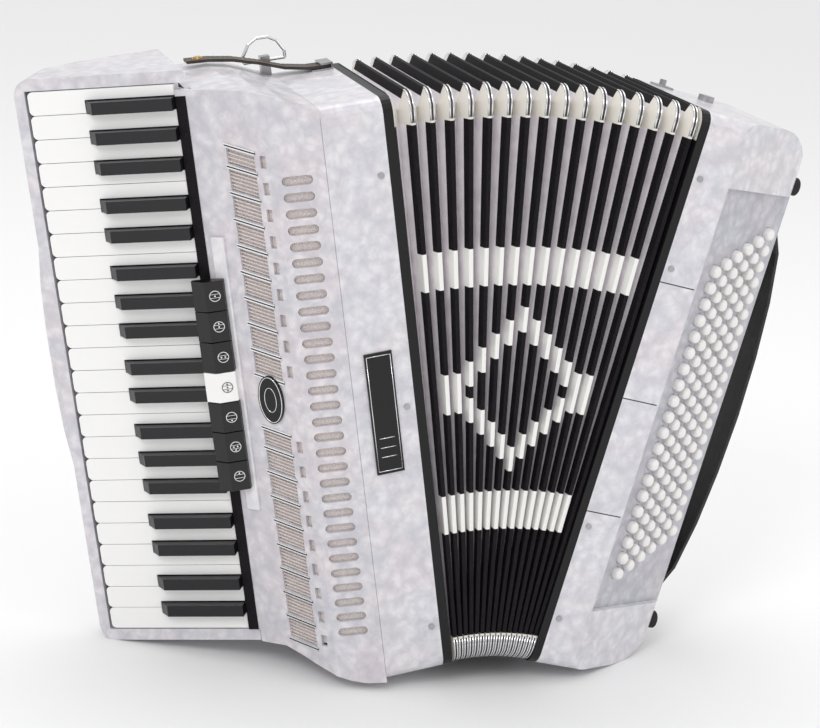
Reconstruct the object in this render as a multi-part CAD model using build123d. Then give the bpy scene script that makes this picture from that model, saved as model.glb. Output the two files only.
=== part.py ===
from build123d import *
import math
import os

os.makedirs("parts", exist_ok=True)

# A piano accordion standing on the bottom edges of its two casings with the bellows fanned open.
# Each half is drawn upright in its own frame: x = 0 at its bellows face, y = 0 mid-depth, front at -y,
# z = 0 at its bottom edge. The halves and the folds then turn about one fan centre below the floor.

# overall sizes
H = 490.0  # height of both casings
HALF = 88.0  # half depth of the casings, front to back
FOLD_HALF = 86.0  # half depth of a bellows fold
FOLDS = 16  # number of bellows folds, the last one fixed to the bass frame
STEPS = 16.3  # fold intervals in the whole fan
FAN = 23.2  # angle between the two casings, degrees
LEAN = 11.304  # lean of the treble half, degrees: keyboard foot and bass foot then share one floor
CENTRE = 206.5  # distance from the fan centre up to the bottom edges
FOLD_T = 3.0  # thickness of one fold frame
FOLD_R = 14.0  # corner radius of a fold
WALL = 5.0  # casing wall
FRAME_X = 8.0  # thickness of the treble bellows frame
BASS_FRAME_X = 7.2  # thickness of the bass bellows frame
EDGE_R = 12.0  # corner radius of casings and frames, seen along the bellows

# keyboard
KEY_P = 19.6  # pitch of the white keys
KEY_TOP = 512.8  # upper edge of the highest placed key
KEY_GAP = 0.5
WHITES = 24
KEY_LEN = 122.5  # visible length of a white key
BLACK_LEN = 74.0
BLACK_W = 10.0
BLACK_H = 8.5  # rise of a black key over the white ones
KEY_T = 12.5  # thickness of a white key
KEY_ROOT = (-147.8, -16.0)  # inner end of the key plane in plan
KEY_ANG = 151.3  # direction of the keys in plan, degrees
PIVOT = (-100.0, -8.0)  # key axle in plan
AXLE_R = 1.5
BED_Z0 = 31.0
BED_Z1 = 523.0

# register switches
REG_P = 25.86
REG_TOP = 355.6
REG_W = 24.9

# bass side
BASS_X = 128.0  # depth of the bass half, from bellows to outer face
SLOPE0 = (32.0, -88.0)  # start of the slanted button face in plan
SLOPE1 = (122.0, -27.0)  # end of the slanted button face in plan
BTN_R = 5.3
BTN_ROWS = 20
BTN_COLS = 6
BTN_P = 14.42  # pitch along a row of buttons
COL_P = 13.85  # pitch between the rows
COL_RISE = 7.36
BTN_Z = 362.1
BTN_Q = 30.2

ca = math.cos(math.radians(KEY_ANG))
sa = math.sin(math.radians(KEY_ANG))


def key_pos(s, t):
    """Plan point at distance s outwards along the keys and t above their playing face."""
    return (KEY_ROOT[0] + ca * s - sa * t, KEY_ROOT[1] + sa * s + ca * t)


def prism(points, z0, z1):
    face = make_face(Polyline(*[(x, y, z0) for x, y in points], close=True))
    return extrude(face, amount=z1 - z0, dir=(0, 0, 1))


def side_prism(points, y0, y1):
    face = make_face(Polyline(*[(x, y0, z) for x, z in points], close=True))
    return extrude(face, amount=y1 - y0, dir=(0, 1, 0))


def block(x0, x1, y0, y1, z0, z1):
    return Pos((x0 + x1) / 2, (y0 + y1) / 2, (z0 + z1) / 2) * Box(x1 - x0, y1 - y0, z1 - z0)


def rounded_yz(half, z0, z1, radius, steps=5):
    """Outline of a rectangle with rounded corners across the bellows."""
    pts = []
    for cy, cz, first in [
        (half - radius, z1 - radius, 0),
        (radius - half, z1 - radius, 90),
        (radius - half, z0 + radius, 180),
        (half - radius, z0 + radius, 270),
    ]:
        for k in range(steps + 1):
            a = math.radians(first + 90 * k / steps)
            pts.append((cy + radius * math.cos(a), cz + radius * math.sin(a)))
    return pts


def cross_prism(points, x0, x1):
    face = make_face(Polyline(*[(x0, y, z) for y, z in points], close=True))
    return extrude(face, amount=x1 - x0, dir=(1, 0, 0))


def rod(start, direction, radius, length):
    return extrude(Plane(origin=start, z_dir=direction) * Circle(radius), amount=length)


def joined(shapes):
    return Compound([solid for shape in shapes for solid in shape.solids()])


parts = {}
TREBLE = Rot(0, -LEAN, 0) * Pos(0, 0, CENTRE)
BASS = Rot(0, FAN - LEAN, 0) * Pos(0, 0, CENTRE)
LIFT = FRAME_X / math.tan(math.radians(FAN / 2))
FOLD_CENTRE = Rot(0, -LEAN, 0) * Pos(FRAME_X, 0, LIFT)


# ---------------------------------------------------------------- treble casing
def treble_outline(inset):
    low = [(5, 0), (-54, 0), (-66, 1), (-78, 4.5), (-90, 10.5), (-102, 18), (-112, 25), (-122, 31), (-165, 31)]
    high = [(-165, 508), (-104, 508), (-89, 505), (-76, 500), (-62, 493.5), (-50, H), (5, H)]
    return [(x, z + inset) for x, z in low] + [(x, z - inset) for x, z in high]


casing_plan = [
    (0, -HALF),
    (-50, -HALF),
    (-50, -24),
    (-134.8, -24),
    (-134.8, -16),
    (-139, -16),
    (-139, HALF),
    (0, HALF),
]
casing = prism(casing_plan, -5, 530) & side_prism(treble_outline(0), -100, 100)
edge = block(-50, 1, -HALF - 5, HALF + 5, -10, H + 10) - cross_prism(rounded_yz(HALF, 0, H, EDGE_R), -50, 1)
casing -= edge
hollow_plan = [
    (1, WALL - HALF),
    (-55, WALL - HALF),
    (-55, -30),
    (-145, -30),
    (-145, 15),
    (-134, 15),
    (-134, HALF - WALL),
    (1, HALF - WALL),
]
inner = cross_prism(rounded_yz(HALF - WALL, -40, 540, EDGE_R - WALL), -170, 1)
inner -= block(-50, 1, -HALF, HALF, -50, 550) - cross_prism(rounded_yz(HALF - WALL, WALL, H - WALL, EDGE_R - WALL), -50, 1)
casing -= prism(hollow_plan, -5, 530) & side_prism(treble_outline(WALL), -100, 100) & inner
casing -= block(-150, -106, -16, 4, 492, 507.0)
parts["treble_casing"] = (TREBLE, casing)

# ---------------------------------------------------------------- treble grille
FACE0 = key_pos(-9.7, 1.5)  # foot of the window face
FACE1 = (-89.0, -77.5)  # fold between window face and slot face
FACE2 = (-50.3, -HALF)  # seam with the casing
face_len = math.dist(FACE0, FACE1)
fx = (FACE1[0] - FACE0[0]) / face_len
fy = (FACE1[1] - FACE0[1]) / face_len


def face_pos(e, depth):
    """Plan point at distance e up the window face and depth behind it."""
    return (FACE0[0] + fx * e - fy * depth, FACE0[1] + fy * e + fx * depth)


shell_plan = [
    FACE2,
    FACE1,
    FACE0,
    key_pos(-0.8, 1.5),
    key_pos(-0.8, -3.2),
    key_pos(-9.0, -3.2),
    face_pos(3.0, 3.0),
    (-87.5, -74.8),
    (-50.3, -HALF + 3.1),
]
end_plan = [FACE2, FACE1, face_pos(3.3, 0), (-50.3, -24.4)]
grille = prism(shell_plan, -5, 530) & side_prism(treble_outline(0), -100, 100)
ends = prism(end_plan, -5, 530) & side_prism(treble_outline(0), -100, 100)
ends -= side_prism(treble_outline(3.0), -100, 100)
ends -= block(-170, -138.7, -100, 100, -10, 540)
grille += ends
grille -= block(-170, -138.9, -60, 0, -10, 41.6)

WIN_E0 = 32.4
WIN_E1 = 58.3
WIN_SKEW = 6.0
BAR_P = 21.6
BAR = 3.4


def window(z_low, z_high):
    """Cutter for one skewed window between two bars."""
    pts = []
    for e, z in [(WIN_E0, z_low), (WIN_E0, z_high), (WIN_E1, z_high - WIN_SKEW), (WIN_E1, z_low - WIN_SKEW)]:
        x, y = face_pos(e, -2)
        pts.append((x, y, z))
    face = make_face(Polyline(*pts, close=True))
    return extrude(face, amount=8, dir=(-fy, fx, 0))


cutters = []
for top, first in [(465.0, 448.0), (229.6, 212.0)]:
    edges = [top] + [first - BAR_P * i for i in range(8)] + [first - BAR_P * 8]
    for upper, lower in zip(edges[:-1], edges[1:]):
        cutters.append(window(lower + BAR / 2, upper - BAR / 2))
for first in [451.9, 214.4]:
    for i in range(9):
        x, y = face_pos(66.1, 0)
        cutters.append(Pos(x, y, first - BAR_P * i) * Rot(0, 0, math.degrees(math.atan2(fy, fx))) * Box(5.5, 9, 10))
slot_dir = math.degrees(math.atan2(FACE2[1] - FACE1[1], FACE2[0] - FACE1[0]))
SLOT_X = -72.5
slot_y = FACE1[1] + (FACE2[1] - FACE1[1]) * (SLOT_X - FACE1[0]) / (FACE2[0] - FACE1[0])
for i in range(30):
    slot = extrude(SlotOverall(24.5, 7.6), amount=6, both=True)
    cutters.append(Pos(SLOT_X, slot_y, 435.7 - 13.31 * i) * Rot(0, 0, slot_dir) * Rot(90, 0, 0) * slot)
for i in range(7):
    zc = REG_TOP - REG_P * (i + 0.5)
    x, y = key_pos(-14, 3)
    cutters.append(Pos(x, y, zc) * Rot(0, 0, KEY_ANG) * Box(9.5, 16, 9))
grille -= cutters
parts["treble_grille"] = (TREBLE, grille)

cloth_plan = [face_pos(29, 3.3), face_pos(70.5, 3.3), face_pos(70.5, 4.3), face_pos(29, 4.3)]
slot_plan = [(-86, -74.2), (-54, -82.8), (-54, -81.8), (-86, -73.2)]
parts["grille_cloth"] = (TREBLE, joined([prism(cloth_plan, 38, 470), prism(slot_plan, 36, 450)]))

x, y = face_pos(45, 0)
turn = math.degrees(math.atan2(fy, fx))
emblem = Pos(x, y, 254) * Rot(0, 0, turn) * Rot(90, 0, 0) * extrude(Ellipse(12, 20.5), amount=2.2)
plate = block(-38, -15, -HALF - 1.6, -HALF, 184.4, 287.6)
parts["name_badges"] = (TREBLE, joined([emblem, plate]))

# ---------------------------------------------------------------- keyboard bed and axle
back_corner = key_pos(134, -30)
bed_plan = [
    key_pos(134, -0.5),
    back_corner,
    (-205, HALF),
    (-139.3, HALF),
    (-139.3, 4.8),
    key_pos(125, -22),
    key_pos(125, -0.5),
]
cap_plan = [key_pos(134, -0.5), back_corner, (-205, HALF), (-139.3, HALF), key_pos(-9.7, -0.5)]
bed = prism(bed_plan, BED_Z0, BED_Z1)
bed += prism(cap_plan, BED_Z0, 41.3)
bed += prism(cap_plan, KEY_TOP + 0.5, BED_Z1)
cavity = [key_pos(13, -28), key_pos(112, -28), (-204, 81.5), (-130, 81.5), (-130, 20), (-145.8, 20)]
bed -= prism(cavity, 41, 513)
palm = [(134, 190), (138, 225), (139.5, 262), (139.5, 315), (138, 352), (134, 387), (126, 387), (126, 190)]
palm_pts = [(*key_pos(s, -1.5), z) for s, z in palm]
bed += extrude(make_face(Polyline(*palm_pts, close=True)), amount=24, dir=(sa, -ca, 0))
corner_edges = [e for e in bed.edges() if e.length > 20 and abs(e.center().Z - 277) > 245]
outer_top = [e for e in corner_edges if e.center().X < -250]
bed = fillet(outer_top, 14)
parts["keyboard_bed"] = (TREBLE, bed)
parts["key_axle"] = (TREBLE, rod((*PIVOT, 33), (0, 0, 1), AXLE_R, 465))

# ---------------------------------------------------------------- keys
LETTERS = ["f", "g", "a", "b", "c", "d", "e"]
SHARPS = {"f": -5.0, "g": 0.0, "a": 5.0, "c": -2.5, "d": 2.5}
keys = {}


def bar(start, end, side):
    run = Vector(*end) - Vector(*start)
    return extrude(Plane(origin=start, z_dir=run) * Rectangle(side, side), amount=run.length)


def squeeze(z, share):
    """Levers and pallets stand a little closer together than the keys."""
    return 277.0 + (z - 277.0) * share


def lever(z):
    """Key lever: bar to a hub on the axle, then an arm to a felted pallet on the soundboard."""
    hub = squeeze(z, 0.945)
    pallet = squeeze(z, 0.93) - 30.0 * (z - 40) / 470
    shape = bar((*key_pos(3, -8.5), z), (*PIVOT, hub), 3.4)
    shape += rod((*PIVOT, hub - 2.5), (0, 0, 1), 5.5, 5)
    shape += bar((*PIVOT, hub), (-24.5, -57, pallet), 3)
    shape += block(-27, -20.5, -72, -42, pallet - 2.9, pallet + 2.9)
    return shape - rod((*PIVOT, hub - 10), (0, 0, 1), AXLE_R + 0.25, 20)


def key_block(s0, s1, t0, t1, z0, z1):
    plan = [key_pos(s0, t0), key_pos(s1, t0), key_pos(s1, t1), key_pos(s0, t1)]
    return prism(plan, z0, z1)


black_z = {}
levers = []
for i in range(WHITES - 1):
    letter = LETTERS[i % 7]
    if letter in SHARPS:
        black_z[i] = KEY_TOP - KEY_P * (i + 1) - SHARPS[letter]

for i in range(WHITES):
    letter = LETTERS[i % 7]
    upper = KEY_TOP - KEY_P * i
    key = key_block(0, KEY_LEN, -KEY_T, 0, upper - KEY_P + KEY_GAP / 2, upper - KEY_GAP / 2)
    ends = [e for e in key.edges() if abs(e.length - KEY_T) < 0.01 and e.center().X < -240]
    key = fillet(ends, 4)
    for j in (i - 1, i):
        if j in black_z:
            key -= key_block(-1, BLACK_LEN + 1, -20, 5, black_z[j] - BLACK_W / 2 - 0.8, black_z[j] + BLACK_W / 2 + 0.8)
    high = black_z[i - 1] - BLACK_W / 2 - 0.8 if i - 1 in black_z else upper
    low = black_z[i] + BLACK_W / 2 + 0.8 if i in black_z else upper - KEY_P
    levers.append((high + low) / 2 if i else low + 2.8)
    key += lever(levers[-1])
    keys.setdefault("key_" + letter, []).append(key)
    if i in black_z:
        z = black_z[i]
        w = BLACK_W / 2
        sharp = key_block(0, BLACK_LEN, -KEY_T, BLACK_H, z - w, z + w)
        slope = [key_pos(BLACK_LEN - 7, BLACK_H), key_pos(BLACK_LEN, 1), key_pos(BLACK_LEN + 5, BLACK_H)]
        sharp -= prism(slope, z - 20, z + 20)
        levers.append(z)
        sharp += lever(z)
        keys.setdefault("key_" + letter + "_sharp", []).append(sharp)
for name, solids in keys.items():
    parts[name] = (TREBLE, joined(solids))

# ---------------------------------------------------------------- register switches
REG_PIVOT = key_pos(-14, 4)
tab = [(3, 11), (3, 14.2), (-9, 18.5), (-23, 12.5), (-23, 8.2), (-18, 8.2), (-17, -0.5), (-11, -0.5), (-10, 8.2)]
for i in range(7):
    zc = REG_TOP - REG_P * (i + 0.5)
    head = prism([key_pos(s, t) for s, t in tab[:6] + tab[8:]], zc - REG_W / 2, zc + REG_W / 2)
    stem = prism([key_pos(s, t) for s, t in tab[5:]], zc - 3.5, zc + 3.5)
    parts["register_%d" % (i + 1)] = (TREBLE, head + stem)

# ---------------------------------------------------------------- soundboards, reed blocks, bellows frames
def soundboard(x0, x1, rows):
    board = block(x0, x1, -HALF + WALL + 0.3, HALF - WALL - 0.3, WALL + 0.3, H - WALL - 0.3)
    board = board & cross_prism(rounded_yz(HALF - WALL - 0.3, WALL + 0.3, H - WALL - 0.3, EDGE_R - WALL), x0, x1)
    return board - rows


def reed_blocks(x0, x1):
    return [block(x0, x1, y - 11, y + 11, 50, 440) for y in (-48, -16, 16, 48)]


ports = []
for z in levers:
    pallet = squeeze(z, 0.93) - 30.0 * (z - 40) / 470
    ports.append(block(-21, -13, -68, -46, pallet - 2.0, pallet + 2.0))
treble_board = soundboard(-20, -14, ports)
parts["treble_reed_blocks"] = (TREBLE, joined([treble_board] + reed_blocks(-13.9, 24)))

ports = [block(9, 17, y - 5, y + 5, z - 9, z + 9) for y in (-50, -20, 20, 50) for z in range(70, 440, 30)]
bass_board = soundboard(10, 16, ports)
parts["bass_reed_blocks"] = (BASS, joined([bass_board] + reed_blocks(-24, 9.9)))


def bellows_frame(x0, x1):
    ring = cross_prism(rounded_yz(HALF, 0, H, EDGE_R), x0, x1)
    return ring - block(x0 - 1, x1 + 1, 14 - HALF, HALF - 14, 14, H - 14)


def screw_holes(screw_x, screw_z):
    return [rod((screw_x, way * (HALF + 1), z), (0, -way, 0), 1.3, 10) for z in screw_z for way in (-1, 1)]


def screws(screw_x, screw_z):
    found = []
    for z in screw_z:
        for way in (-1, 1):
            head = rod((screw_x, way * (HALF + 1.1), z), (0, -way, 0), 2.6, 1.1)
            shank = rod((screw_x, way * HALF, z), (0, -way, 0), 1.2, 8)
            found.append(head + shank)
    return found


T_SCREWS = (430, 237.5, 41.6)
B_SCREWS = (435.8, 358.7, 129.9, 45.5)
for hole in screw_holes(-7.0, T_SCREWS):
    casing -= hole
parts["treble_casing"] = (TREBLE, casing)
parts["treble_bellows_frame"] = (TREBLE, bellows_frame(0, FRAME_X))
parts["bass_bellows_frame"] = (BASS, bellows_frame(-BASS_FRAME_X, 0))

# ---------------------------------------------------------------- bellows folds
ring = cross_prism(rounded_yz(FOLD_HALF, 1.0, H, FOLD_R), -FOLD_T / 2, FOLD_T / 2)
ring -= block(-5, 5, -FOLD_HALF + 15, FOLD_HALF - 15, 16, H - 15)
for i in range(1, FOLDS + 1):
    parts["fold_%02d" % i] = (FOLD_CENTRE * Rot(0, FAN * i / STEPS, 0) * Pos(0, 0, CENTRE - LIFT), ring)

# ---------------------------------------------------------------- strap hardware and bellows strap
RING_X = -54.0
RING_Y = 76.0
RING_Z = H + 12.0
hardware = screws(-7.0, T_SCREWS)
eye = block(RING_X - 4, RING_X + 4, RING_Y - 4, RING_Y + 4, H - 4, RING_Z + 4)
eye -= side_prism(treble_outline(0), -100, 100)
eye -= rod((RING_X - 20, RING_Y, RING_Z), (1, 0, 0), 1.75, 40)
hardware.append(eye)
clip = block(-20, -1.5, 54, 74, H, H + 1.5)
clip += block(-12, -1.5, 54, 74, H + 4.6, H + 6.1)
clip += block(-3, -1.5, 54, 74, H, H + 6.1)
hardware.append(clip)
low_eye = block(RING_X - 9, RING_X + 9, HALF, HALF + 2, 24, 44)
low_eye += block(RING_X - 3, RING_X + 3, HALF + 2, HALF + 10, 30, 38)
low_eye -= rod((RING_X - 20, HALF + 6, 34), (1, 0, 0), 2.5, 40)
hardware.append(low_eye)
parts["treble_hardware"] = (TREBLE, joined(hardware))

w = 17.5
rim = [(-w, 0, 0), (w, 0, 0), (w, 0, 6), (12, 0, 15), (5, 0, 19), (-5, 0, 19), (-12, 0, 15), (-w, 0, 6)]
loop = Polyline(*rim, close=True)
wire = sweep(Plane(origin=(0, 0, 0), z_dir=(1, 0, 0)) * Circle(1.5), path=loop, transition=Transition.ROUND)
parts["strap_ring"] = (TREBLE * Pos(RING_X, RING_Y, RING_Z), wire)

wave = [(-3.2, 0), (-22, 0.5), (-42, 4), (-62, 11), (-84, 17), (-104, 20), (-122, 21)]
upper = [(x, H + 1.6 + z + 2.4) for x, z in wave]
lower = [(x, H + 1.6 + z) for x, z in reversed(wave)]
strap = side_prism(upper + lower, 56, 72)
parts["bellows_strap"] = (TREBLE, strap)

# ---------------------------------------------------------------- bass casing and board
slope_len = math.dist(SLOPE0, SLOPE1)
qx = (SLOPE1[0] - SLOPE0[0]) / slope_len
qy = (SLOPE1[1] - SLOPE0[1]) / slope_len


def board_pos(q, w):
    """Plan point at distance q along the slanted face and w out of it."""
    return (SLOPE0[0] + qx * q + qy * w, SLOPE0[1] + qy * q - qx * w)


def bass_outline(inset):
    reach = BASS_X - inset
    r = 40 - inset
    low = [(-5, inset)]
    high = [(-5, H - inset)]
    for k in range(7):
        a = math.radians(15 * k)
        low.append((reach - r + r * math.sin(a), inset + r - r * math.cos(a)))
        high.append((reach - r + r * math.sin(a), H - inset - r + r * math.cos(a)))
    return low + high[::-1]


bass_plan = [(0, -HALF), SLOPE0, SLOPE1, (BASS_X, -17), (BASS_X, HALF - 14), (BASS_X - 14, HALF), (0, HALF)]
bass_hollow = [
    (-1, WALL - HALF),
    board_pos(0, -WALL),
    board_pos(slope_len, -WALL),
    (BASS_X - WALL, -15),
    (BASS_X - WALL, HALF - 16),
    (BASS_X - 16, HALF - WALL),
    (-1, HALF - WALL),
]
bass = prism(bass_plan, -5, 500) & side_prism(bass_outline(0), -100, 100)
bass &= cross_prism(rounded_yz(HALF, 0, H, EDGE_R), -1, 140)
inner = cross_prism(rounded_yz(HALF - WALL, WALL, H - WALL, EDGE_R - WALL), -2, 140)
bass -= prism(bass_hollow, -5, 500) & side_prism(bass_outline(WALL), -100, 100) & inner
opening = [board_pos(3, 5), board_pos(slope_len + 20, 5), board_pos(slope_len + 20, -5.2), board_pos(3, -5.2)]
bass -= prism(opening, 56, 434)
under = [board_pos(1, -5.2), board_pos(slope_len + 10.9, -5.2), board_pos(slope_len + 10.9, -8.4), board_pos(1, -8.4)]
bass -= prism(under, 52, 438)
for z in (143.0, 244.0, 346.0):
    bass -= block(-1, SLOPE0[0] - 0.01, -HALF - 1, -HALF + 0.8, z - 0.5, z + 0.5)
AIR = (60.0, 424.0)
bass -= rod((BASS_X - 10, AIR[0], AIR[1]), (1, 0, 0), 8.5, 20)
for hole in screw_holes(6.0, B_SCREWS):
    bass -= hole
for z in (66.0, 402.0):
    bass -= block(BASS_X - 10, BASS_X + 5, -12, 48, z - 5, z + 5)
parts["bass_casing"] = (BASS, bass)

board = prism(under, 52, 438) & side_prism(bass_outline(0), -100, 100)
normal = (qy, -qx, 0)
columns = []
holes = []
for col in range(BTN_COLS):
    made = []
    for row in range(BTN_ROWS):
        z = BTN_Z + COL_RISE * col - BTN_P * row
        x, y = board_pos(BTN_Q + COL_P * col, -16)
        pin = rod((x, y, z), normal, BTN_R, 17.5)
        crown = pin.faces().sort_by(lambda f: f.center().dot(Vector(*normal)))[-1]
        made.append(fillet(crown.edges(), 3.4))
        holes.append(rod((x, y, z), normal, BTN_R + 0.4, 14))
    columns.append(made)
board -= holes
parts["bass_button_board"] = (BASS, board)
ROWS = ["counterbass", "fundamental", "major", "minor", "seventh", "diminished"]
for name, made in zip(ROWS, columns):
    parts["buttons_" + name] = (BASS, joined(made))

# ---------------------------------------------------------------- bass strap, air button, feet, hardware
bow = [(-8, 66), (1, 68), (9, 86), (16, 130), (20, 180), (21.5, 234)]
span = bow + [(x, 468 - z) for x, z in reversed(bow[:-1])]
outer_line = []
inner_line = []
for k, (x, z) in enumerate(span):
    before = span[max(k - 1, 0)]
    after = span[min(k + 1, len(span) - 1)]
    away = Vector(after[1] - before[1], before[0] - after[0]).normalized() * 1.3
    outer_line.append((BASS_X + x + away.X, z + away.Y))
    inner_line.append((BASS_X + x - away.X, z - away.Y))
parts["bass_strap"] = (BASS, side_prism(outer_line + inner_line[::-1], -11, 47))
air = rod((BASS_X - 8, AIR[0], AIR[1]), (1, 0, 0), 8.0, 14)
air = fillet(air.faces().sort_by(Axis.X)[-1].edges(), 2)
parts["air_button"] = (BASS, air)
feet = []
for y in (-8.0, 66.0):
    for z in (34.0, 442.0):
        foot = rod((BASS_X, y, z), (1, 0, 0), 8.0, 8)
        feet.append(fillet(foot.faces().sort_by(Axis.X)[-1].edges(), 2))
parts["bass_feet"] = (BASS, joined(feet))
hardware = screws(6.0, B_SCREWS)
catch = block(10, 26, 56, 72, H, H + 1.5)
catch += rod((18, 64, H + 1.5), (0, 0, 1), 3.0, 5)
hardware.append(catch)
hardware.append(rod((46, 30, H), (0, 0, 1), 7, 5))
parts["bass_hardware"] = (BASS, joined(hardware))

# ---------------------------------------------------------------- stand the whole on the floor
placed = {name: where * shape for name, (where, shape) in parts.items()}
boxes = [shape.bounding_box() for shape in placed.values()]
low = Vector(*[min(getattr(b.min, k) for b in boxes) for k in "XYZ"])
high = Vector(*[max(getattr(b.max, k) for b in boxes) for k in "XYZ"])
shift = Pos(-(low.X + high.X) / 2, -(low.Y + high.Y) / 2, -low.Z)
for name, shape in placed.items():
    export_step(shift * shape, "parts/%s.step" % name)
print("shift", shift.position)
print("size", high - low, "nodes", len(placed))
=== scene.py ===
import math

import bpy
from mathutils import Matrix, Vector


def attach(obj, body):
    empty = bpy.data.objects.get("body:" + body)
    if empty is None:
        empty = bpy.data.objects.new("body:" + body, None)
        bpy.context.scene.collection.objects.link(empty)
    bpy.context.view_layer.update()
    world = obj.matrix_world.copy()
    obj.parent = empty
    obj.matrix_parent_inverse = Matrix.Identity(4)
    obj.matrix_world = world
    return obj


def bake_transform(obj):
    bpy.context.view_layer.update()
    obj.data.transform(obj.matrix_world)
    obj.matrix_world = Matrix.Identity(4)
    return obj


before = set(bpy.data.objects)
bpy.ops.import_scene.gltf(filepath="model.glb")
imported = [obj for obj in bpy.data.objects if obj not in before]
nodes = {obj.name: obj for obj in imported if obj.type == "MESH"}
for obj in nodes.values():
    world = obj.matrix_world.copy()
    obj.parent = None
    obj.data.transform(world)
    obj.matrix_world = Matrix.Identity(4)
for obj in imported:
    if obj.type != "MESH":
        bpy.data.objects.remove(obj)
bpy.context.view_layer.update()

MM = 0.001

# Sizes of shapes are in millimetres and angles in degrees. Lamps and camera are in metres and radians.
H = 490.0  # height of the casings
HALF = 88.0  # half the depth of the casings, front to back
FOLD_HALF = 86.0  # half the depth of the folds
FOLD_LOW = 1.0  # height of the folds' bottom edge
FOLD_R = 14.0  # corner radius of the folds
FOLDS = 16
FAN = 23.2  # angle between the two casings
STEPS = 16.3  # fold pitches in that angle, as the last pleat is a narrow one
LEAN = 11.304  # lean of the treble casing
CENTRE = 206.5  # height of the casings' bottom over the fan's centre
FRAME_X = 8.0  # thickness of the treble bellows frame
BASS_FRAME_X = 7.2  # thickness of the bass bellows frame
BASS_X = 128.0  # depth of the bass half, from the bellows to its outer face
LIFT = FRAME_X / math.tan(math.radians(FAN / 2))  # height of the folds' centre over the fan's centre
STAND = Matrix.Translation((66.237, -4.2, -183.125))  # puts the object's box on the floor and centres it


def turn(degrees):
    """Rotation about the axis that the bellows fan about."""
    return Matrix.Rotation(math.radians(degrees), 4, "Y")


TREBLE = STAND @ turn(-LEAN) @ Matrix.Translation((0, 0, CENTRE))
BASS = STAND @ turn(FAN - LEAN) @ Matrix.Translation((0, 0, CENTRE))


def fold_frame(i):
    """Frame of fold i, counted from the treble side."""
    fan = Matrix.Translation((FRAME_X, 0, LIFT)) @ turn(FAN * i / STEPS)
    return STAND @ turn(-LEAN) @ fan @ Matrix.Translation((0, 0, CENTRE - LIFT))


# ------------------------------------------------------------------ materials
COAT_ROUGHNESS = 0.08
MIX_A, MIX_B, MIX_RESULT = 2, 3, 0  # sockets of a Mix node for numbers
MIX_COLOUR_A, MIX_COLOUR_B, MIX_COLOUR_RESULT = 6, 7, 2  # sockets of a Mix node for colours


def material(name, colour, rough, metal=0.0, coat=0.0, gloss=0.5):
    """Plain finish. The slot's name is kept on it for the pieces that it dresses."""
    mat = bpy.data.materials.new(name + "_finish")
    mat["slot"] = name
    mat.use_nodes = True
    shader = mat.node_tree.nodes["Principled BSDF"]
    shader.inputs["Base Color"].default_value = (*colour, 1)
    shader.inputs["Roughness"].default_value = rough
    shader.inputs["Metallic"].default_value = metal
    shader.inputs["Specular IOR Level"].default_value = gloss
    shader.inputs["Coat Weight"].default_value = coat
    shader.inputs["Coat Roughness"].default_value = COAT_ROUGHNESS
    return mat


def add_node(tree, kind, **inputs):
    node = tree.nodes.new("ShaderNode" + kind)
    for name, value in inputs.items():
        node.inputs[name].default_value = value
    return node


def add_ramp(tree, *stops):
    """Colour ramp with stops from low to high, each (position, colour)."""
    ramp = add_node(tree, "ValToRGB")
    elements = ramp.color_ramp.elements
    for element, (position, colour) in zip(elements, (stops[0], stops[-1])):
        element.position = position
        element.color = (*colour, 1)
    for position, colour in stops[1:-1]:
        elements.new(position).color = (*colour, 1)
    return ramp


def pearl(name, dark, mid, light, scale=95.0):
    """Marbled pearl: soft flakes in three close tones, warm and cool in patches, under a coat."""
    mat = material(name, mid, 0.34, coat=0.45)
    tree = mat.node_tree
    shader = tree.nodes["Principled BSDF"]
    place = add_node(tree, "TexCoord")
    warp = add_node(tree, "TexNoise", Scale=45.0, Detail=2.0)
    bend = add_node(tree, "VectorMath")
    bend.operation = "MULTIPLY_ADD"
    bend.inputs[1].default_value = (0.02, 0.02, 0.02)
    flake = add_node(tree, "TexVoronoi")
    flake.feature = "SMOOTH_F1"
    flake.inputs["Scale"].default_value = scale
    flake.inputs["Smoothness"].default_value = 0.35
    grain = add_node(tree, "TexNoise", Scale=scale * 1.6, Detail=4.0, Distortion=1.2)
    blend = add_node(tree, "Mix")
    blend.data_type = "FLOAT"
    blend.inputs[0].default_value = 0.5
    tones = add_ramp(tree, (0.30, dark), (0.47, mid), (0.68, light))
    patch = add_node(tree, "TexNoise", Scale=22.0)
    tint = add_ramp(tree, (0.4, (1.0, 0.975, 0.985)), (0.6, (0.965, 0.985, 1.0)))
    product = add_node(tree, "Mix")
    product.data_type = "RGBA"
    product.blend_type = "MULTIPLY"
    product.inputs[0].default_value = 1.0
    link = tree.links.new
    link(place.outputs["Object"], warp.inputs["Vector"])
    link(warp.outputs["Color"], bend.inputs[0])
    link(place.outputs["Object"], bend.inputs[2])
    link(bend.outputs["Vector"], flake.inputs["Vector"])
    link(place.outputs["Object"], grain.inputs["Vector"])
    link(place.outputs["Object"], patch.inputs["Vector"])
    link(flake.outputs["Distance"], blend.inputs[MIX_A])
    link(grain.outputs["Fac"], blend.inputs[MIX_B])
    link(blend.outputs[MIX_RESULT], tones.inputs["Fac"])
    link(patch.outputs["Fac"], tint.inputs["Fac"])
    link(tones.outputs["Color"], product.inputs[MIX_COLOUR_A])
    link(tint.outputs["Color"], product.inputs[MIX_COLOUR_B])
    link(product.outputs[MIX_COLOUR_RESULT], shader.inputs["Base Color"])
    return mat


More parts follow.
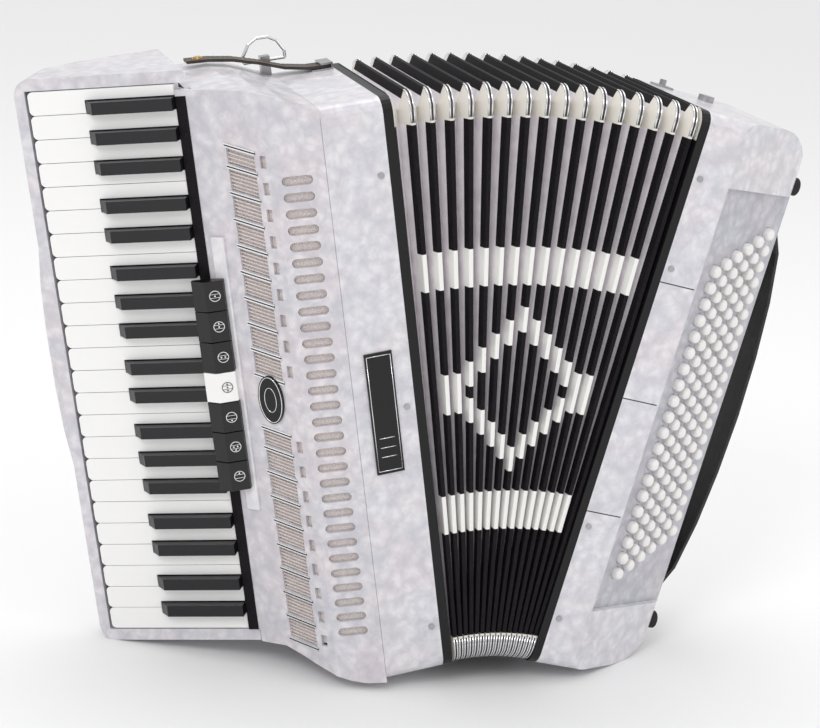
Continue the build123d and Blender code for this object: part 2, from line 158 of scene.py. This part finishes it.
def speckled(name, dark, light, scale, rough, gloss=0.5):
    """Two close tones mixed by a fine noise, for leather, cloth, card and wood."""
    mat = material(name, light, rough, gloss=gloss)
    tree = mat.node_tree
    place = add_node(tree, "TexCoord")
    cloud = add_node(tree, "TexNoise", Scale=scale, Detail=3.0)
    tones = add_ramp(tree, (0.35, dark), (0.65, light))
    tree.links.new(place.outputs["Object"], cloud.inputs["Vector"])
    tree.links.new(cloud.outputs["Fac"], tones.inputs["Fac"])
    tree.links.new(tones.outputs["Color"], tree.nodes["Principled BSDF"].inputs["Base Color"])
    return mat


pearl_body = pearl("pearl_body", (0.72, 0.70, 0.72), (0.63, 0.615, 0.64), (0.54, 0.53, 0.565))
bass_pearl = pearl("bass_pearl", (0.73, 0.71, 0.73), (0.64, 0.625, 0.65), (0.55, 0.54, 0.575))
grille_pearl = pearl("grille_pearl", (0.70, 0.67, 0.69), (0.61, 0.585, 0.61), (0.52, 0.505, 0.54))
bed_pearl = pearl("bed_pearl", (0.71, 0.69, 0.71), (0.62, 0.605, 0.63), (0.53, 0.52, 0.555))
rail_pearl = pearl("rail_pearl", (0.80, 0.79, 0.80), (0.74, 0.73, 0.745), (0.66, 0.65, 0.68))
board_pearl = pearl("board_pearl", (0.54, 0.53, 0.56), (0.46, 0.45, 0.49), (0.39, 0.38, 0.42))
white_key = material("white_key", (0.85, 0.845, 0.835), 0.22, coat=0.4)
black_key = material("black_key", (0.006, 0.005, 0.007), 0.3, coat=0.08, gloss=0.4)
register_black = material("register_black", (0.006, 0.005, 0.006), 0.26, coat=0.1, gloss=0.4)
register_white = material("register_white", (0.86, 0.85, 0.83), 0.25, coat=0.4)
button_white = material("button_white", (0.80, 0.78, 0.77), 0.25, coat=0.5)
badge_black = material("badge", (0.006, 0.006, 0.007), 0.35, gloss=0.35)
cloth = speckled("cloth", (0.52, 0.465, 0.445), (0.72, 0.66, 0.64), 900.0, 0.85)
axle_steel = material("axle_steel", (0.55, 0.55, 0.56), 0.3, metal=1.0)
reed_wood = speckled("reed_wood", (0.34, 0.22, 0.12), (0.48, 0.33, 0.19), 60.0, 0.6)
frame_black = material("frame_black", (0.006, 0.006, 0.007), 0.4, gloss=0.3)
fold_card = speckled("fold_card", (0.008, 0.007, 0.008), (0.018, 0.016, 0.018), 500.0, 0.7, gloss=0.2)
tape_black = speckled("tape_black", (0.004, 0.003, 0.004), (0.010, 0.008, 0.010), 700.0, 0.6, gloss=0.15)
tape_white = material("tape_white", (0.80, 0.795, 0.77), 0.55)
pleat_grey = speckled("pleat_grey", (0.74, 0.70, 0.73), (0.84, 0.81, 0.83), 90.0, 0.42)
gusset_cream = material("gusset_cream", (0.74, 0.71, 0.66), 0.45)
bright_metal = material("bright_metal", (0.78, 0.78, 0.79), 0.16, metal=1.0)
screw_steel = material("screw_steel", (0.42, 0.42, 0.43), 0.28, metal=1.0)
brass = material("brass", (0.62, 0.42, 0.16), 0.25, metal=1.0)
strap_leather = speckled("strap_leather", (0.018, 0.013, 0.011), (0.045, 0.030, 0.024), 160.0, 0.45)
black_leather = speckled("black_leather", (0.010, 0.010, 0.011), (0.022, 0.021, 0.022), 160.0, 0.5)
thread = material("thread", (0.30, 0.24, 0.17), 0.7)
foot_rubber = material("foot_rubber", (0.014, 0.014, 0.014), 0.8)
icon_white = material("icon_white", (0.78, 0.78, 0.78), 0.4)
icon_dark = material("icon_dark", (0.05, 0.05, 0.05), 0.4)
# painted shade: near-black finish laid in narrow gaps, slits and grooves where shade falls
painted_gap_shade = material("painted_gap_shade", (0.03, 0.03, 0.035), 0.6)


# ------------------------------------------------------------------ CAD nodes: finish and soft edges
SOFT_ANGLE = 38.0  # edges that turn by more than this are softened


def dress(node, mat, width=0.0, segments=2):
    """Gives a CAD node its finish, and rounds its edges by width if that isn't zero."""
    obj = nodes[node]
    obj.data.materials.clear()
    obj.data.materials.append(mat)
    if width:
        bevel = obj.modifiers.new("soft_edge", "BEVEL")
        bevel.width = width * MM
        bevel.segments = segments
        bevel.limit_method = "ANGLE"
        bevel.angle_limit = math.radians(SOFT_ANGLE)
        bevel.harden_normals = False
        obj.data.polygons.foreach_set("use_smooth", [True] * len(obj.data.polygons))
        keep = obj.modifiers.new("flat_faces", "WEIGHTED_NORMAL")
        keep.keep_sharp = True


dress("treble_casing", pearl_body, 1.6, 3)
dress("treble_grille", grille_pearl, 0.5, 2)
dress("grille_cloth", cloth)
dress("name_badges", badge_black, 0.4, 2)
dress("keyboard_bed", bed_pearl, 2.0, 3)
dress("key_axle", axle_steel)
dress("treble_reed_blocks", reed_wood)
dress("bass_reed_blocks", reed_wood)
dress("treble_bellows_frame", frame_black, 1.2, 2)
dress("bass_bellows_frame", frame_black, 1.2, 2)
dress("treble_hardware", screw_steel, 0.3, 2)
dress("bass_hardware", screw_steel, 0.3, 2)
dress("bellows_strap", strap_leather, 0.8, 2)
dress("strap_ring", bright_metal)
dress("bass_casing", bass_pearl, 1.6, 3)
dress("bass_button_board", board_pearl)
dress("bass_strap", black_leather, 0.8, 2)
dress("bass_feet", foot_rubber)
dress("air_button", button_white)
for name in nodes:
    if name.startswith("key_") and name != "key_axle":
        sharp = name.endswith("_sharp")
        dress(name, black_key if sharp else white_key, 1.1 if sharp else 0.8, 3)
    elif name.startswith("register_"):
        white = name == "register_4"
        dress(name, register_white if white else register_black, 0.8, 3)
    elif name.startswith("fold_"):
        dress(name, fold_card)
    elif name.startswith("buttons_"):
        dress(name, button_white)


# ------------------------------------------------------------------ mesh helpers, all sizes in mm
def piece(name, verts, faces, mats, where, body=None, picks=None, smooth=False):
    """New mesh from points in the frame where. picks holds each face's place in mats."""
    mesh = bpy.data.meshes.new(name)
    mesh.from_pydata([tuple((where @ Vector(v)) * MM) for v in verts], [], faces)
    for mat in mats:
        mesh.materials.append(mat)
    if picks:
        mesh.polygons.foreach_set("material_index", picks)
    if smooth:
        mesh.polygons.foreach_set("use_smooth", [True] * len(faces))
    mesh.update()
    obj = bpy.data.objects.new(name, mesh)
    bpy.context.scene.collection.objects.link(obj)
    if body:
        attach(obj, body)
    return obj


class Build:
    """Collects slabs, boxes and tubes into one mesh."""

    def __init__(self):
        self.verts = []
        self.faces = []
        self.picks = []

    def add(self, verts, faces, pick=0):
        base = len(self.verts)
        self.verts += verts
        self.faces += [tuple(base + i for i in f) for f in faces]
        self.picks += [pick] * len(faces)

    def slab(self, loop, rise, pick=0):
        """Flat outline given as vectors, thickened by the vector rise."""
        n = len(loop)
        verts = [Vector(p) for p in loop] + [Vector(p) + rise for p in loop]
        faces = [tuple(range(n))[::-1], tuple(range(n, 2 * n))]
        faces += [(i, (i + 1) % n, n + (i + 1) % n, n + i) for i in range(n)]
        self.add(verts, faces, pick)

    def box(self, x0, x1, y0, y1, z0, z1, pick=0):
        """Upright box between two values on each axis."""
        loop = [(x0, y0, z0), (x1, y0, z0), (x1, y1, z0), (x0, y1, z0)]
        self.slab(loop, Vector((0, 0, z1 - z0)), pick)

    def tube(self, path, radius, sides=6, closed=False, pick=0):
        """Round bar along a path of points, capped at both ends unless it is closed."""
        path = [Vector(p) for p in path]
        n = len(path)
        verts = []
        lead = None
        for k, p in enumerate(path):
            before = path[k - 1] if (k or closed) else p
            after = path[(k + 1) % n] if (k < n - 1 or closed) else p
            run = (after - before).normalized()
            if lead is None:
                lead = run.orthogonal().normalized()
            lead = (lead - run * lead.dot(run)).normalized()
            side = run.cross(lead)
            for s in range(sides):
                angle = 2 * math.pi * s / sides
                across, up = radius * math.cos(angle), radius * math.sin(angle)
                verts.append(p + lead * across + side * up)
        faces = []
        for k in range(n if closed else n - 1):
            m = (k + 1) % n
            for s in range(sides):
                t = (s + 1) % sides
                faces.append((k * sides + s, k * sides + t, m * sides + t, m * sides + s))
        if not closed:
            faces.append(tuple(range(sides))[::-1])
            faces.append(tuple((n - 1) * sides + s for s in range(sides)))
        self.add(verts, faces, pick)

    def made(self, name, mats, where, body=None, smooth=False):
        return piece(name, self.verts, self.faces, mats, where, body, self.picks, smooth)


def soften(obj, width, segments=2):
    """Rounds the edges of a new piece."""
    bevel = obj.modifiers.new("soft_edge", "BEVEL")
    bevel.width = width * MM
    bevel.segments = segments
    bevel.limit_method = "ANGLE"
    return obj


def circle(count):
    """Cosine and sine of count even steps once round."""
    angles = [t * math.pi / (count // 2) for t in range(count)]
    return [(math.cos(angle), math.sin(angle)) for angle in angles]


# ------------------------------------------------------------------ bellows pleats
BAND_TOP = (328.5, 360.0)  # heights of the upper white band
BAND_LOW = (119.5, 153.0)  # heights of the lower white band
RHOMBUS_Z = 240.0  # height of the rhombus' middle
RHOMBUS_REACH = 66.0  # from there to its upper point
RHOMBUS_FOLD = 8  # fold at its middle
RHOMBUS_FOLDS = 6.0  # folds from there to where its sides meet
RHOMBUS_THICK = 17.0  # height of its white blocks, inside the line
RHOMBUS_RIM = 4.0  # and outside it
TAPE = 6.3  # width of the tape on each side of a ridge
PLEAT = 15.0  # depth of a valley
RIDGE_PROUD = 0.6  # tape proud of the card at the ridge
EDGE_PROUD = 0.3  # and at the edge of the ridge
SKIN = 1.7  # half the width of a ridge
FRAME_SKIN = 0.1  # and where the pleat starts on a bellows frame
GUSSET = 11.0  # height of a corner gusset beyond the round corner
GUSSET_Y = 60.0  # a gusset lies farther than this from the middle of the depth
FRONT_Y = -80.0  # only the tape in front of this carries the white pattern
CORNER_STEPS = 8
BLACK, WHITE, CREAM, GREY = range(4)  # places of the four finishes in a pleat


def outline_marks(heights):
    """Stations once round a fold: up the front, over the top, down the back and along the bottom.

    Each is (y, z, outward y, outward z). The front has one station at each of the given heights.
    """
    half, low, high, r = FOLD_HALF, FOLD_LOW, H, FOLD_R
    marks = []

    def straight(y0, z0, y1, z1, ny, nz, shares):
        for share in shares:
            marks.append((y0 + (y1 - y0) * share, z0 + (z1 - z0) * share, ny, nz))

    def corner(cy, cz, first):
        for k in range(CORNER_STEPS + 1):
            angle = math.radians(first - 90 * k / CORNER_STEPS)
            cosine, sine = math.cos(angle), math.sin(angle)
            marks.append((cy + r * cosine, cz + r * sine, cosine, sine))

    length = high - low - 2 * r
    levels = sorted({GUSSET, length - GUSSET, *[z - low - r for z in heights]})
    wide = 2 * half - 2 * r
    ends = [1.0 / wide, 1 - 1.0 / wide]
    corner(r - half, low + r, 270)
    straight(-half, low + r, -half, high - r, -1, 0, [z / length for z in levels])
    corner(r - half, high - r, 180)
    straight(r - half, high, half - r, high, 0, 1, ends)
    corner(half - r, high - r, 90)
    straight(half, high - r, half, low + r, 1, 0, [GUSSET / length, 1 - GUSSET / length])
    corner(half - r, low + r, 0)
    straight(half - r, low, r - half, low, 0, -1, ends)
    return marks


def whites_of(i):
    """Heights between which the tape of fold i is white on the front: two bands and a plain rhombus."""
    if not 1 <= i < FOLDS:
        return []
    spans = [BAND_LOW, BAND_TOP]
    reach = RHOMBUS_REACH * (1 - abs(i - RHOMBUS_FOLD) / RHOMBUS_FOLDS)
    if 0 <= reach < RHOMBUS_THICK:
        spans.append((RHOMBUS_Z - RHOMBUS_THICK, RHOMBUS_Z + RHOMBUS_THICK))
    elif reach >= RHOMBUS_THICK:
        spans.append((RHOMBUS_Z + reach - RHOMBUS_THICK, RHOMBUS_Z + reach + RHOMBUS_RIM))
        spans.append((RHOMBUS_Z - reach - RHOMBUS_RIM, RHOMBUS_Z - reach + RHOMBUS_THICK))
    return sorted(spans)


def is_white(spans, z):
    return any(low - 0.01 <= z <= high + 0.01 for low, high in spans)


def near_corner(mark, after):
    """Whether the strip between two stations is part of a corner gusset."""
    y, z = abs(mark[0] + after[0]) / 2, (mark[1] + after[1]) / 2
    top, bottom = H - FOLD_R - GUSSET, FOLD_LOW + FOLD_R + GUSSET
    return y > GUSSET_Y and (z > top - 0.5 or z < bottom + 0.5)


def pleat(name, side_a, side_b, plain=False):
    """Cloth from the ridge of one fold down into the valley and up to the next.

    A side is (frame, body, white spans, x of the ridge, half the width of the ridge). A plain
    pleat has no grey lining in its valley.
    """
    frame_a, body_a, spans_a, x_a, skin_a = side_a
    frame_b, body_b, spans_b, x_b, skin_b = side_b
    marks = outline_marks(sorted({z for span in spans_a + spans_b for z in span}))
    n = len(marks)
    loops = [[] for _ in range(7)]
    for y, z, ny, nz in marks:
        def on(where, x, inset):
            return where @ Vector((x, y - ny * inset, z - nz * inset))

        ridge_a = on(frame_a, x_a, -RIDGE_PROUD)
        edge_a = on(frame_a, x_a + skin_a, -EDGE_PROUD)
        ridge_b = on(frame_b, x_b, -RIDGE_PROUD)
        edge_b = on(frame_b, x_b - skin_b, -EDGE_PROUD)
        valley = (on(frame_a, x_a, PLEAT) + on(frame_b, x_b, PLEAT)) / 2
        tape_a = edge_a.lerp(valley, TAPE / PLEAT)
        tape_b = edge_b.lerp(valley, TAPE / PLEAT)
        for loop, p in zip(loops, (ridge_a, edge_a, tape_a, valley, tape_b, edge_b, ridge_b)):
            loop.append(p)
    faces, picks = [], []
    for row in range(6):
        for k in range(n):
            m = (k + 1) % n
            faces.append((row * n + k, row * n + m, (row + 1) * n + m, (row + 1) * n + k))
            (y0, z0), (y1, z1) = marks[k][:2], marks[m][:2]
            front = y0 < FRONT_Y and y1 < FRONT_Y
            if near_corner(marks[k], marks[m]):
                picks.append(CREAM)
            elif row in (2, 3) and not plain:
                picks.append(GREY)
            elif front and is_white(spans_a if row < 2 else spans_b, (z0 + z1) / 2):
                picks.append(WHITE)
            else:
                picks.append(BLACK)
    verts = [p for loop in loops for p in loop]
    mats = [tape_black, tape_white, gusset_cream, pleat_grey]
    obj = piece(name, verts, faces, mats, Matrix.Identity(4), None, picks)
    if body_a == body_b:
        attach(obj, body_a)
    else:
        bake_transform(obj)


def body_name(i):
    if i == 0:
        return "treble"
    return "bass" if i >= FOLDS else "fold_%02d" % i


def fold_side(i):
    return fold_frame(i), body_name(i), whites_of(i), 0.0, SKIN


sides = [(TREBLE, "treble", [], FRAME_X, FRAME_SKIN)] + [fold_side(i) for i in range(1, FOLDS + 1)]
for i in range(FOLDS):
    pleat("pleat_%02d" % (i + 1), sides[i], sides[i + 1])
bass_side = (BASS, "bass", [], -BASS_FRAME_X, FRAME_SKIN)
pleat("pleat_17", sides[FOLDS], bass_side, plain=True)


# ------------------------------------------------------------------ corner metals of the folds
METAL_TOP = (1.35, 0.9)  # top corners: half the distance between the two rolled edges, and their radius
METAL_LOW = (1.15, 0.8)  # bottom corners, where the folds stand closer
METAL_OUT = 0.5  # rolled edges proud of the fold
SEAM_OUT = 1.0  # painted shade: dark line in the slit between them, proud of the fold
SEAM_R = 0.45
METAL_DOWN = 9  # how far the metals run along the side


def corner_path(way_y, way_z, x, out):
    """Round one corner of a fold, from the flat of the top or bottom to the side."""
    r = FOLD_R
    cy = FOLD_HALF - r
    cz = H - r if way_z > 0 else FOLD_LOW + r
    path = [(x, way_y * (cy - 1), cz + way_z * (r + out))]
    for k in range(CORNER_STEPS + 1):
        angle = math.radians(90 - 90 * k / CORNER_STEPS)
        y = way_y * (cy + (r + out) * math.cos(angle))
        path.append((x, y, cz + way_z * (r + out) * math.sin(angle)))
    path.append((x, way_y * (cy + r + out), cz - way_z * METAL_DOWN))
    return path


for i in range(1, FOLDS + 1):
    metal = Build()
    for way_y in (-1, 1):
        for way_z in (-1, 1):
            reach, radius = METAL_TOP if way_z > 0 else METAL_LOW
            for x in (-reach, reach):
                metal.tube(corner_path(way_y, way_z, x, METAL_OUT), radius)
            # the thin middle tube is painted shade in the slit between the rolled edges
            metal.tube(corner_path(way_y, way_z, 0.0, SEAM_OUT), SEAM_R, pick=1)
    mats = [bright_metal, painted_gap_shade]
    obj = metal.made("corner_metal_%02d" % i, mats, fold_frame(i), body_name(i), smooth=True)

# ------------------------------------------------------------------ grille trim
KEY_ANG = math.radians(151.3)  # direction in plan in which the keys run
CA, SA = math.cos(KEY_ANG), math.sin(KEY_ANG)


def key_pos(s, t):
    """Plan point at distance s along the keys and t above the tops of the white ones."""
    return (-147.8 + CA * s - SA * t, -16.0 + SA * s + CA * t)


FACE0 = key_pos(-9.7, 1.5)  # edge of the window face beside the keys
FACE1 = (-89.0, -77.5)  # fold between the window face and the slot face
FACE_LEN = math.dist(FACE0, FACE1)
FX, FY = (FACE1[0] - FACE0[0]) / FACE_LEN, (FACE1[1] - FACE0[1]) / FACE_LEN
OUT = Vector((FY, -FX, 0))


def face_at(e, z, rise=0.0):
    """Point of the window face at distance e across it, rise in front of it."""
    return Vector((FACE0[0] + FX * e, FACE0[1] + FY * e, z)) + OUT * rise


def face_strip(build, z, half, ends, drop, sink, thick, pick=0):
    """Strip of height 2 * half across the window face, which falls by drop between its ends."""
    e0, e1 = ends
    loop = [face_at(e0, z - half), face_at(e0, z + half)]
    loop += [face_at(e1, z + half - drop), face_at(e1, z - half - drop)]
    build.slab([p - OUT * sink for p in loop], OUT * thick, pick)


BAR_P = 21.6  # pitch of the windows
WINDOWS = 9  # windows in each of the two groups
WINDOW_GROUPS = ((465.0, 448.0), (229.6, 212.0))  # top edge of a group, and its first bar
BAR_ENDS, BAR_DROP = (31, 59.6), 6.4
RIB_ENDS, RIB_DROP = (32.4, 58.3), 6
RIB_P = 3.1  # pitch of the ribs of cloth behind a window
bars = Build()
ribs = Build()
for top, first in WINDOW_GROUPS:
    edges = [top] + [first - BAR_P * i for i in range(WINDOWS)]
    for z in edges:
        for offset in (-1.15, 1.15):
            face_strip(bars, z + offset, 0.55, BAR_ENDS, BAR_DROP, 0.2, 1.3)
        # painted shade: low dark strip in the gap between each bar's two metal strips
        face_strip(bars, z, 0.5, BAR_ENDS, BAR_DROP, 0.2, 0.5, 1)
    for upper, lower in zip(edges[:-1], edges[1:]):
        count = max(2, round((upper - lower) / RIB_P))
        for k in range(1, count):
            z = lower + (upper - lower) * k / count
            face_strip(ribs, z, 0.55, RIB_ENDS, RIB_DROP, 3.2, 1.6)
obj = bars.made("grille_bars", [bright_metal, painted_gap_shade], TREBLE, "treble")
obj = ribs.made("grille_ribs", [cloth], TREBLE, "treble")

RAIL_LOW, RAIL_HIGH = 154, 389
rail = Build()
loop = [face_at(6.5, z) for z in (RAIL_LOW, RAIL_HIGH)]
loop += [face_at(19, z) for z in (RAIL_HIGH, RAIL_LOW)]
rail.slab([p - OUT * 0.5 for p in loop], OUT * 3.0)
obj = soften(rail.made("register_rail", [rail_pearl], TREBLE, "treble"), 1.0, 3)

# signs on the register switches: a ring, two lines and one to three dots
REG_TOP = 355.6  # top of the uppermost switch
REG_P = 25.86  # pitch of the switches
LIGHT_REGISTER = 4  # the one white switch, with a dark sign
SIGN_RISE = 0.12
SIGN_R = 4.3
DOT_R = 0.7
DOTS = {
    1: [(0, 0)],
    2: [(0, 0), (0, 2.7)],
    3: [(-1.6, 0), (1.6, 0)],
    4: [(0, 2.7), (0, 0), (0, -2.7)],
    5: [(0, -2.7)],
    6: [(-1.6, 0), (1.6, 0), (0, -2.7)],
    7: [(0, 2.7)],
}
facet_start, facet_end = Vector((*key_pos(-9, 18.5), 0)), Vector((*key_pos(-23, 12.5), 0))
along = (facet_end - facet_start).normalized()
facing = along.cross(Vector((0, 0, 1)))
if facing.y > 0:
    facing = -facing
centre = (facet_start + facet_end) / 2 + facing * SIGN_RISE
for i, dots in DOTS.items():
    zc = REG_TOP - REG_P * (i - 0.5)
    icon = Build()

    def spot(u, v):
        """Point of the switch's facet, u along it and v up from its middle."""
        return centre + along * u + Vector((0, 0, zc + v))

    icon.tube([spot(SIGN_R * c, SIGN_R * s) for c, s in circle(24)], 0.32, 5, True)
    for v in (-1.5, 1.5):
        icon.tube([spot(-4.0, v), spot(4.0, v)], 0.2, 5)
    for u, v in dots:
        icon.slab([spot(u + DOT_R * c, v + DOT_R * s) for c, s in circle(10)], facing * 0.25)
    light = i == LIGHT_REGISTER
    mats = [icon_dark if light else icon_white]
    obj = icon.made("register_icon_%d" % i, mats, TREBLE, "register_%d" % i)

# badge edges: two oval rings on the emblem, and a plain rim with three lines on the plate
EMBLEM = (45, 254)  # its middle: distance across the window face, and height
EMBLEM_RISE = 2.25
PLATE_X = (-36.4, -16.6)
PLATE_Z = (187.0, 285.0)
PLATE_PROUD = 1.65
PLATE_LINES = (199.0, 207.0, 215.0)
trim = Build()
for wide, tall, radius, count in ((10.8, 19.3, 0.45, 36), (5.6, 10.5, 0.35, 20)):
    oval = [face_at(EMBLEM[0] + wide * c, EMBLEM[1] + tall * s, EMBLEM_RISE) for c, s in circle(count)]
    trim.tube(oval, radius, 6, True)
front = -HALF - PLATE_PROUD
for z in PLATE_Z:
    trim.tube([(PLATE_X[0], front, z), (PLATE_X[1], front, z)], 0.4)
for x in PLATE_X:
    trim.tube([(x, front, PLATE_Z[0]), (x, front, PLATE_Z[1])], 0.4)
for z in PLATE_LINES:
    trim.tube([(-33.0, front, z), (-20.0, front, z)], 0.4)
obj = trim.made("badge_trim", [bright_metal], TREBLE, "treble", smooth=True)

# painted shade: black strip on the grille's lip beside the keys, standing in for the shade of the step
# between the keys and the grille face
LIP_SHADE_Z = 42.0
LIP_SHADE_LEN = 461
lip_shade = Build()
near, far = Vector((*key_pos(-0.9, 1.5), LIP_SHADE_Z)), Vector((*key_pos(-9.5, 1.5), LIP_SHADE_Z))
tall = Vector((0, 0, LIP_SHADE_LEN))
lip_shade.slab([near, far, far + tall, near + tall], Vector((-SA, CA, 0)) * 0.5)
obj = lip_shade.made("grille_lip_shade", [tape_black], TREBLE, "treble")

# ------------------------------------------------------------------ straps: stitching and snap
def stitch_shares(length, pitch):
    """Start and end of every stitch of a seam, as shares of its length."""
    count = int(length / pitch)
    return [((k + 0.2) / count, (k + 0.75) / count) for k in range(count)]


# hand strap: points are (distance out of the outer face, height), and the same again mirrored
bow = [(-8, 66), (1, 68), (9, 86), (16, 130), (20, 180), (21.5, 234)]
bow += [(x, 468 - z) for x, z in reversed(bow[:-1])]
hand_stitches = Build()
for side in (-8.0, 44.0):
    for (x0, z0), (x1, z1) in zip(bow[1:-2], bow[2:-1]):
        run = Vector((x1 - x0, 0, z1 - z0))
        lift = Vector((run.z, 0, -run.x)).normalized() * 1.35
        start = Vector((BASS_X + x0, side, z0))
        for s0, s1 in stitch_shares(run.length, 5.0):
            hand_stitches.tube([start + run * s0 + lift, start + run * s1 + lift], 0.35, 5)
obj = hand_stitches.made("hand_strap_stitching", [thread], BASS, "bass")

# bellows strap: points are (x, height over the casing's top), as it lies over the top
WAVE = [(-3.2, 0), (-22, 0.5), (-42, 4), (-62, 11), (-84, 17), (-104, 20), (-122, 21)]
STITCH_Z = H + 4.1
stitches = Build()
for side in (57.8, 70.2):
    for (x0, z0), (x1, z1) in zip(WAVE[:-1], WAVE[1:]):
        for shares in stitch_shares(math.hypot(x1 - x0, z1 - z0), 3.4):
            ends = [(x0 + (x1 - x0) * s, side, STITCH_Z + z0 + (z1 - z0) * s) for s in shares]
            stitches.tube(ends, 0.3, 5)
obj = stitches.made("strap_stitching", [thread], TREBLE, "treble")
SNAP = (-112, 64)
SNAP_Z = H + 24.3
snap = Build()
for radius, base, rise in ((4.6, 0.0, 1.0), (3.2, 1.0, 0.9)):
    loop = [(SNAP[0] + radius * c, SNAP[1] + radius * s, SNAP_Z + base) for c, s in circle(20)]
    snap.slab(loop, Vector((0, 0, rise)))
obj = soften(snap.made("strap_snap", [brass], TREBLE, "treble"), 0.35)

# ------------------------------------------------------------------ bass side panel lines, painted shade in the grooves between the panels
PANEL_LINES = (143.0, 244.0, 346.0)
lines = Build()
for z in PANEL_LINES:
    lines.box(0.5, 31.8, -HALF + 0.15, -HALF + 0.75, z - 0.48, z + 0.48)
obj = lines.made("bass_panel_shade_lines", [painted_gap_shade], BASS, "bass")

# ------------------------------------------------------------------ floor, light and camera
floor_mat = material("floor", (0.84, 0.84, 0.84), 0.9)
bpy.ops.mesh.primitive_plane_add(size=40, location=(0, 0, 0))
floor = bpy.context.object
floor.name = "floor"
floor.data.materials.append(floor_mat)

world = bpy.data.worlds.new("studio")
bpy.context.scene.world = world
world.use_nodes = True
sky = world.node_tree
place = add_node(sky, "TexCoord")
split = add_node(sky, "SeparateXYZ")
height = add_ramp(sky, (0.0, (0.62, 0.62, 0.63)), (0.22, (0.72, 0.72, 0.73)), (0.55, (1.0, 1.0, 1.0)))
sky.links.new(place.outputs["Generated"], split.inputs["Vector"])
sky.links.new(split.outputs["Z"], height.inputs["Fac"])
sky.links.new(height.outputs["Color"], sky.nodes["Background"].inputs["Color"])
sky.nodes["Background"].inputs["Strength"].default_value = 1.0


def lamp(name, place, aim, size, power):
    """Round area lamp at place, turned to aim. Metres and watts."""
    data = bpy.data.lights.new(name, "AREA")
    data.shape = "DISK"
    data.size = size
    data.energy = power
    obj = bpy.data.objects.new(name, data)
    bpy.context.scene.collection.objects.link(obj)
    obj.location = place
    obj.rotation_euler = (Vector(aim) - Vector(place)).to_track_quat("-Z", "Y").to_euler()


lamp("key_light", (-1.6, -2.2, 2.4), (0, 0, 0.25), 1.2, 26)
lamp("fill_light", (2.2, -1.8, 1.4), (0.1, 0, 0.25), 1.8, 8)
lamp("top_light", (0.2, 0.6, 2.6), (0, 0, 0.3), 1.5, 12)

cam_data = bpy.data.cameras.new("camera")
cam_data.sensor_width = 36
cam_data.lens = 100.14
cam_data.clip_end = 50
camera = bpy.data.objects.new("camera", cam_data)
bpy.context.scene.collection.objects.link(camera)
camera.location = (-0.56685, -1.77035, 0.77736)
camera.rotation_euler = (1.29821, -0.08543, -0.2867)
bpy.context.scene.camera = camera
bpy.context.scene.view_settings.view_transform = "Standard"
